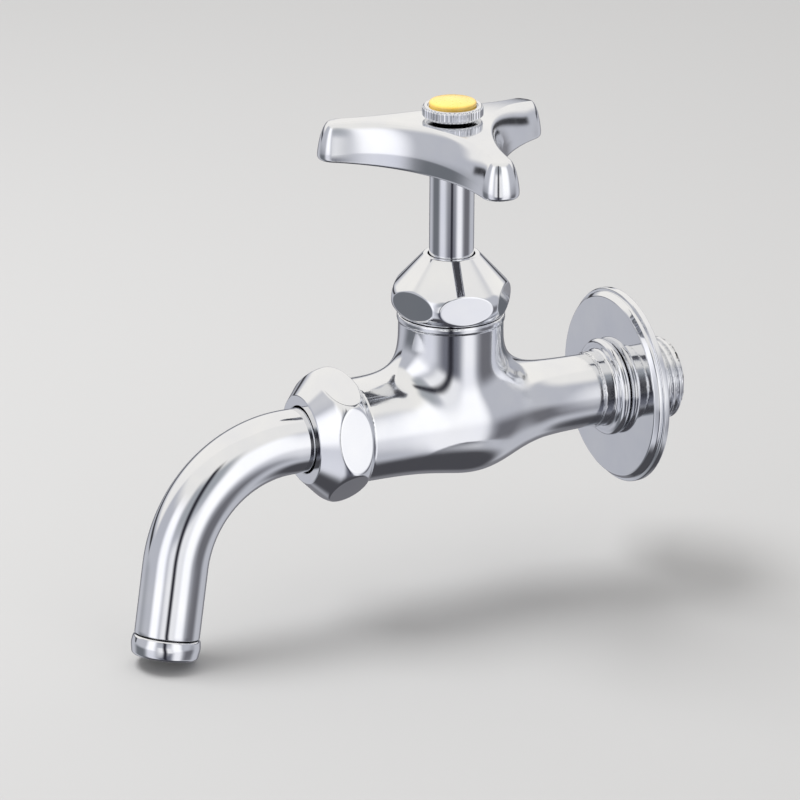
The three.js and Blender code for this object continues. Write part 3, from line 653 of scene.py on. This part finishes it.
def make_index_screw():
    """The knurled head that holds the coloured disc, on its threaded stem."""
    teeth, tooth_height = 44, 0.32
    stem, pitch, depth = 2, 0.7, 0.35
    cup, floor = DISC_RADIUS + CLEARANCE, DISC_BOTTOM_Z - CLEARANCE
    chamfer, edge = 0.6, 0.2
    low, high = HEAD_BOTTOM_Z, SCREW_TOP_Z

    def reach(radius, angle, height):
        at_rim = ease(SCREW_RADIUS - 0.5, SCREW_RADIUS - 0.1, radius)
        knurl = tooth_height / 2 * (1 + np.cos(teeth * angle)) * at_rim
        on_stem = (radius > stem - 0.1) & (radius < stem + 0.1) & (height < HANDLE_TOP_Z)
        return radius - knurl - depth * thread_groove(angle, height, pitch) * on_stem

    outline = filled(rounded([
        (0, SCREW_BOTTOM_Z), (stem, SCREW_BOTTOM_Z, 0.3), (stem, low),
        (SCREW_RADIUS - chamfer, low, edge), (SCREW_RADIUS, low + chamfer, edge),
        (SCREW_RADIUS, high - chamfer, edge), (SCREW_RADIUS - chamfer, high, edge),
        (cup, high, edge), (cup, floor), (0, floor),
    ]), 0.14, closed=False)
    return turned("index_screw_head", outline, on_z, 8 * teeth, reach)


def make_disc():
    """The coloured button: a low dome with a softly rounded edge."""
    dome, edge = 0.5, 0.6
    shoulder = (DISC_RADIUS, DISC_TOP_Z - dome, edge)
    side = [(0, DISC_BOTTOM_Z), (DISC_RADIUS, DISC_BOTTOM_Z), shoulder]
    top = [(DISC_RADIUS * share, DISC_TOP_Z - dome * share**2) for share in np.linspace(0.8, 0, 9)]
    return turned("index_button", rounded(side + top), on_z, sides=96)


def make_spout():
    """The bent pipe, with the rolled collar that the split ring bears on."""
    collar_start, collar_end = PIPE_START_Y - COLLAR_BACK_Y, PIPE_START_Y - COLLAR_FRONT_Y
    end = SPOUT_LENGTH
    outline = rounded([
        (PIPE_BORE_RADIUS, 0, 0.2), (PIPE_BORE_RADIUS, end, 0.2), (PIPE_RADIUS, end, 0.2),
        (PIPE_RADIUS, collar_end), (COLLAR_RADIUS, collar_end, 0.4),
        (COLLAR_RADIUS, collar_start, 0.4), (PIPE_RADIUS, collar_start), (PIPE_RADIUS, 0, 0.3),
    ], steps=4)
    return turned("spout_tube", filled(outline, 0.8), on_spout, sides=128)


def on_outlet(below):
    """The spout's line past its end, by the distance below the end."""
    ends, across, over = on_spout(np.full(2, SPOUT_LENGTH))
    downstream = swung(np.array([0, -math.cos(BEND_ANGLE), -math.sin(BEND_ANGLE)]))
    return ends[0] + below[:, None] * downstream, across[0], over


def make_outlet_ring():
    """The ring under the pipe's end: swelling a little, with a lip that holds the plate up."""
    lip, recess = OUTLET_LIP_RADIUS, OUTLET_RECESS_RADIUS
    top, floor = CLEARANCE, 3.5
    outline = rounded([
        (recess, top, 0.2), (recess, floor), (lip, floor, 0.2), (lip, OUTLET_LENGTH, 0.5),
        (OUTLET_RADIUS - 0.5, OUTLET_LENGTH, 1.1), (OUTLET_RADIUS, OUTLET_SWELL, 4),
        (OUTLET_RADIUS - 0.3, top, 0.6),
    ], steps=12)
    return turned("outlet_collar", outline, on_outlet, sides=160)


def make_straightener():
    """A round plate with seven holes, as a filled curve with softened edges."""
    low, high = 1.8, 3.2
    softening = 0.12
    rim = OUTLET_RECESS_RADIUS - CLEARANCE - softening
    hole, ring_radius = 1.3 - softening, 3.9
    curve = bpy.data.curves.new("flow_plate", "CURVE")
    curve.dimensions = "2D"
    curve.fill_mode = "BOTH"
    curve.extrude = (high - low) / 2 * MM - softening * MM
    curve.bevel_depth = softening * MM
    circles = [(rim, 0, 0, 96), (hole, 0, 0, 40)]
    for k in range(6):
        angle = k * math.pi / 3
        circles.append((hole, ring_radius * math.cos(angle), ring_radius * math.sin(angle), 40))
    for radius, x, y, count in circles:
        spline = curve.splines.new("POLY")
        spline.points.add(count - 1)
        for k, point in enumerate(spline.points):
            angle = 2 * math.pi * k / count
            point_x, point_y = x + radius * math.cos(angle), y + radius * math.sin(angle)
            point.co = (point_x * MM, point_y * MM, 0, 1)
        spline.use_cyclic_u = True
    drawn = bpy.data.objects.new("flow_plate_curve", curve)
    bpy.context.scene.collection.objects.link(drawn)
    bpy.context.view_layer.update()
    worked_out = drawn.evaluated_get(bpy.context.evaluated_depsgraph_get())
    mesh = bpy.data.meshes.new_from_object(worked_out)
    bpy.data.objects.remove(drawn)
    origin, across, over = on_outlet(np.array([(low + high) / 2]))
    place = Matrix.Translation(Vector(origin[0] * MM))
    place @= Matrix(np.column_stack([across, over, np.cross(across, over)]).tolist()).to_4x4()
    mesh.transform(place)
    mesh.name = "flow_plate"
    piece = bpy.data.objects.new("flow_plate", mesh)
    bpy.context.scene.collection.objects.link(piece)
    merge_poles(piece)
    return piece


# ---------------------------------------------------------------- finishes


class Shader:
    """A material with a Principled shader, and short ways to add the nodes that feed it."""

    def __init__(self, name, colour, roughness, metallic=0.0):
        self.material = bpy.data.materials.new(name)
        self.material.use_nodes = True
        self.material.diffuse_color = (*colour, 1)
        self.tree = self.material.node_tree
        self.principled = self.tree.nodes["Principled BSDF"]
        self.set("Base Color", (*colour, 1))
        self.set("Roughness", roughness)
        self.set("Metallic", metallic)
        self.place = self.tree.nodes.new("ShaderNodeTexCoord").outputs["Object"]

    def set(self, socket, value):
        self.principled.inputs[socket].default_value = value

    def noise(self, scale, detail=2.0, stretch=(1, 1, 1)):
        mapping = self.tree.nodes.new("ShaderNodeMapping")
        mapping.inputs["Scale"].default_value = stretch
        self.tree.links.new(self.place, mapping.inputs["Vector"])
        node = self.tree.nodes.new("ShaderNodeTexNoise")
        node.inputs["Scale"].default_value = scale
        node.inputs["Detail"].default_value = detail
        self.tree.links.new(mapping.outputs["Vector"], node.inputs["Vector"])
        return node.outputs["Fac"]

    def ranged(self, value, low, high, start=0.3, end=0.7):
        node = self.tree.nodes.new("ShaderNodeMapRange")
        ends = {"From Min": start, "From Max": end, "To Min": low, "To Max": high}
        for socket, number in ends.items():
            node.inputs[socket].default_value = number
        self.tree.links.new(value, node.inputs["Value"])
        return node.outputs["Result"]

    def mixed(self, value, first, second):
        node = self.tree.nodes.new("ShaderNodeMix")
        node.data_type = "RGBA"
        node.inputs["A"].default_value = (*first, 1)
        node.inputs["B"].default_value = (*second, 1)
        self.tree.links.new(value, node.inputs["Factor"])
        return node.outputs["Result"]

    def feed(self, socket, value):
        self.tree.links.new(value, self.principled.inputs[socket])

    def bump(self, height, strength, distance):
        node = self.tree.nodes.new("ShaderNodeBump")
        node.inputs["Strength"].default_value = strength
        node.inputs["Distance"].default_value = distance * MM
        self.tree.links.new(height, node.inputs["Height"])
        self.feed("Normal", node.outputs["Normal"])


def chrome(name, roughness, waviness=0.0):
    """Chrome plate: a cool white metal whose polish varies, over a surface that may be wavy."""
    made = Shader(name, (0.83, 0.84, 0.86), roughness, 1.0)
    cloud = made.noise(90, 3)
    streak = made.noise(420, 4, (1, 1, 0.2))
    dark, pale = (0.80, 0.81, 0.84), (0.86, 0.865, 0.87)
    made.feed("Base Color", made.mixed(made.ranged(cloud, 0, 1), dark, pale))
    made.feed("Roughness", made.ranged(streak, roughness * 0.75, roughness * 1.4))
    if waviness:
        made.bump(made.noise(150, 1), waviness, 0.02)
    return made.material


def brass():
    """Bare brass with fine turning marks."""
    made = Shader("machined_brass", (0.78, 0.58, 0.27), 0.3, 1.0)
    grain = made.noise(700, 4)
    dark, pale = (0.70, 0.50, 0.21), (0.83, 0.64, 0.33)
    made.feed("Base Color", made.mixed(made.ranged(grain, 0, 1), dark, pale))
    made.feed("Roughness", made.ranged(grain, 0.22, 0.42))
    made.bump(grain, 0.15, 0.03)
    return made.material


def rubber():
    """Black packing and washers: dull, with a fine grain."""
    made = Shader("black_rubber", (0.02, 0.02, 0.02), 0.7)
    grain = made.noise(1500, 3)
    dark, pale = (0.014, 0.014, 0.014), (0.03, 0.03, 0.03)
    made.feed("Base Color", made.mixed(made.ranged(grain, 0, 1), dark, pale))
    made.feed("Roughness", made.ranged(grain, 0.6, 0.85))
    made.bump(grain, 0.3, 0.05)
    return made.material


def plastic(name, dark, pale, roughness, coat):
    """Moulded plastic, clouded between two tones, under a coat that may be glossy."""
    made = Shader(name, pale, roughness)
    grain = made.noise(900, 3)
    made.feed("Base Color", made.mixed(made.ranged(made.noise(250, 2), 0, 1), dark, pale))
    made.feed("Roughness", made.ranged(grain, roughness * 0.8, roughness * 1.25))
    made.set("Coat Weight", coat)
    made.set("Coat Roughness", 0.08)
    made.bump(grain, 0.08, 0.02)
    return made.material


def dress(piece, material, body=None, node=None):
    """Gives a piece its finish and, unless it is a CAD node, its body and the node it replaces."""
    piece.data.materials.clear()
    piece.data.materials.append(material)
    if body:
        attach(piece, body)
        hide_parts(node)


# ---------------------------------------------------------------- the stage


def direction(azimuth, elevation):
    """The direction from the tap of an azimuth and an elevation, which are the camera's own kind."""
    flat = math.cos(elevation)
    return Vector((math.sin(azimuth) * flat, -math.cos(azimuth) * flat, math.sin(elevation)))


def make_camera():
    """A long lens that looks down on the tap, aimed a little beside the foot of the spindle."""
    back = direction(CAMERA_AZIMUTH, CAMERA_ELEVATION)
    right = Vector((math.cos(CAMERA_AZIMUTH), math.sin(CAMERA_AZIMUTH), 0))
    up = back.cross(right)
    aim = Vector((0, SPINDLE_Y, 0)) + right * AIM_RIGHT + up * AIM_UP
    level = math.cos(CAMERA_ROLL), math.sin(CAMERA_ROLL)
    rolled = right * level[0] - up * level[1], right * level[1] + up * level[0], back
    camera = bpy.data.objects.new("camera", bpy.data.cameras.new("camera"))
    camera.data.lens = CAMERA_LENS
    camera.matrix_world = Matrix.Translation((aim + back * CAMERA_DISTANCE) * MM) @ (
        Matrix(rolled).transposed().to_4x4())
    bpy.context.scene.collection.objects.link(camera)
    bpy.context.scene.camera = camera


def make_floor():
    """A wide sheet just under the outlet, which takes the shadow and is not mirrored in the chrome."""
    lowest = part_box("outlet_ring")[0].z
    reach = 12  # metres
    corners = [(x * reach, y * reach, lowest) for x, y in ((-1, -1), (1, -1), (1, 1), (-1, 1))]
    mesh = bpy.data.meshes.new("floor")
    mesh.from_pydata(corners, [], [(0, 1, 2, 3)])
    floor = bpy.data.objects.new("floor", mesh)
    bpy.context.scene.collection.objects.link(floor)
    paper = Shader("pale_paper", BACKDROP, 0.9)
    mesh.materials.append(paper.material)
    floor.visible_glossy = False


# What shines round the tap, as the chrome sees it: the azimuth is turned from the camera's, to the
# right of the picture, and every angle is in degrees. A later patch covers an earlier one.
GROUND = (0.54, 0.55, 0.60)
PATCHES = (
    # azimuth, elevation, softness across and along, colour
    # Dark gaps below the level: left, right, behind (in two halves) and in front.
    ((-114, -66), (-90, -8), (14, 8), (0.17, 0.18, 0.20)),
    ((62, 104), (-38, -8), (13, 9), (0.17, 0.17, 0.19)),
    ((-200, -148), (-90, -8), (10, 6), (0.22, 0.22, 0.24)),
    ((148, 200), (-90, -8), (10, 6), (0.22, 0.22, 0.24)),
    ((-24, 22), (-90, -15), (11, 4), (0.16, 0.165, 0.20)),
    # A box in front, and a tall one on either side of it, brighter above the level.
    ((-24, 26), (-15, 18), (9, 5), (0.95, 0.95, 0.97)),
    ((-62, -34), (-50, 90), (9, 8), (0.78, 0.79, 0.86)),
    ((-62, -34), (-8, 90), (9, 8), (1.2, 1.2, 1.24)),
    ((27, 54), (-50, 90), (9, 8), (1.0, 1.0, 1.04)),
    ((27, 54), (-8, 90), (9, 8), (1.2, 1.2, 1.22)),
    # The dark line of the horizon behind the tap, in two halves.
    ((-200, -114), (-4, 3), (2, 2), (0.05, 0.05, 0.055)),
    ((114, 200), (-4, 3), (2, 2), (0.05, 0.05, 0.055)),
    # The pale ceiling, which reaches further down behind the tap.
    ((-200, 200), (40, 120), (1, 9), (0.93, 0.915, 0.89)),
    ((-200, -104), (9, 120), (6, 5), (0.98, 0.96, 0.93)),
    ((108, 200), (9, 120), (6, 5), (0.98, 0.96, 0.93)),
    # The gap over the box in front, the black line down its middle, and a painted shadow underneath:
    # the floor straight below, darkened as the tap's own shadow would darken it.
    ((-26, 26), (24, 50), (8, 7), (0.40, 0.42, 0.45)),
    ((-6, 6), (-50, 56), (5, 5), (0.03, 0.03, 0.04)),
    # Painted shadow: the floor under the tap, dark as if in the tap's shade, as the chrome sees it.
    ((-200, 200), (-120, -54), (1, 7), (0.075, 0.075, 0.085)),
)


def make_world():
    """Soft boxes, dark gaps, a tone for the ground and a painted shadow straight below, painted round
    the tap by direction. The camera itself sees a plain pale backdrop."""
    world = bpy.data.worlds.new("studio")
    bpy.context.scene.world = world
    world.use_nodes = True
    tree = world.node_tree
    tree.nodes.clear()

    def node(kind, **settings):
        made = tree.nodes.new(kind)
        for key, value in settings.items():
            setattr(made, key, value)
        return made

    def maths(operation, *values):
        made = node("ShaderNodeMath", operation=operation)
        for socket, value in zip(made.inputs, values):
            if isinstance(value, (int, float)):
                socket.default_value = value
            else:
                tree.links.new(value, socket)
        return made.outputs[0]

    def along(axis):
        made = node("ShaderNodeVectorMath", operation="DOT_PRODUCT")
        tree.links.new(look, made.inputs[0])
        made.inputs[1].default_value = axis
        return made.outputs["Value"]

    def edge(value, low, high):
        made = node("ShaderNodeMapRange", interpolation_type="SMOOTHSTEP")
        made.inputs["From Min"].default_value = math.radians(low)
        made.inputs["From Max"].default_value = math.radians(high)
        tree.links.new(value, made.inputs["Value"])
        return made.outputs["Result"]

    def window(value, low, high, soft):
        rise = edge(value, low - soft, low + soft)
        return maths("SUBTRACT", rise, edge(value, high - soft, high + soft))

    look = node("ShaderNodeTexCoord").outputs["Generated"]
    toward = direction(CAMERA_AZIMUTH, 0)
    right = Vector((math.cos(CAMERA_AZIMUTH), math.sin(CAMERA_AZIMUTH), 0))
    azimuth = maths("ARCTAN2", along(right), along(toward))
    elevation = maths("ARCSINE", along((0, 0, 1)))
    ground = node("ShaderNodeRGB").outputs[0]
    ground.default_value = (*GROUND, 1)
    colour = ground
    for sideways, upwards, soft, tone in PATCHES:
        columns = window(azimuth, *sideways, soft[0])
        rows = window(elevation, *upwards, soft[1])
        mask = maths("MULTIPLY", columns, rows)
        mix = node("ShaderNodeMix", data_type="RGBA")
        tree.links.new(mask, mix.inputs["Factor"])
        tree.links.new(colour, mix.inputs["A"])
        mix.inputs["B"].default_value = (*tone, 1)
        colour = mix.outputs["Result"]
    studio = node("ShaderNodeBackground")
    tree.links.new(colour, studio.inputs["Color"])
    plain = node("ShaderNodeBackground")
    plain.inputs["Color"].default_value = (*BACKDROP, 1)
    choice = node("ShaderNodeMixShader")
    tree.links.new(node("ShaderNodeLightPath").outputs["Is Camera Ray"], choice.inputs["Fac"])
    tree.links.new(studio.outputs[0], choice.inputs[1])
    tree.links.new(plain.outputs[0], choice.inputs[2])
    tree.links.new(choice.outputs[0], node("ShaderNodeOutputWorld").inputs["Surface"])


def make_lamp():
    """A large soft lamp over the left of the tap, which puts its shadow on the floor."""
    lamp = bpy.data.objects.new("overhead_lamp", bpy.data.lights.new("overhead_lamp", "AREA"))
    lamp.data.shape = "RECTANGLE"
    lamp.data.size, lamp.data.size_y = LAMP_SIZE
    lamp.data.energy = LAMP_POWER
    from_tap = direction(CAMERA_AZIMUTH - LAMP_LEFT, LAMP_ELEVATION)
    lamp.location = from_tap * LAMP_DISTANCE
    lamp.rotation_mode = "QUATERNION"
    lamp.rotation_quaternion = from_tap.to_track_quat("Z", "Y")
    lamp.visible_glossy = False
    bpy.context.scene.collection.objects.link(lamp)


# ---------------------------------------------------------------- assembly

make_camera()
make_floor()
make_world()
make_lamp()
bpy.context.scene.view_settings.view_transform = "Standard"

CAST = chrome("chrome_on_casting", 0.09, 0.06)
TURNED = chrome("chrome_on_turned_brass", 0.05)
DRAWN = chrome("chrome_on_drawn_tube", 0.045)
BRASS = brass()
RUBBER = rubber()
IVORY = plastic("ivory_plastic", (0.72, 0.71, 0.66), (0.80, 0.79, 0.75), 0.4, 0.0)
YELLOW = plastic("yellow_plastic", (0.89, 0.57, 0.09), (0.93, 0.63, 0.13), 0.3, 0.6)

dress(make_body(), CAST, "tap_body", "body")
dress(make_flange(), TURNED, "flange", "wall_flange")
dress(make_cap_nut(), TURNED, "tap_body", "cap_nut")
dress(make_pipe_nut(), TURNED, "tap_body", "pipe_nut")
dress(make_spindle(), TURNED, "spindle", "spindle")
dress(make_handle(), CAST, "spindle", "handle")
dress(make_index_screw(), TURNED, "spindle", "index_screw")
dress(make_disc(), YELLOW, "spindle", "index_disc")
dress(make_spout(), DRAWN, "spout", "spout_pipe")
dress(make_outlet_ring(), TURNED, "spout", "outlet_ring")
dress(make_straightener(), IVORY, "spout", "flow_straightener")

KEPT = {
    "packing_washer": BRASS, "jumper": BRASS, "jumper_nut": BRASS, "gland_packing": RUBBER,
    "jumper_washer": RUBBER, "pipe_packing": RUBBER, "outlet_gasket": RUBBER, "pipe_ring": IVORY,
}
for kept, finish in KEPT.items():
    dress(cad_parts[kept], finish)

bpy.context.view_layer.update()
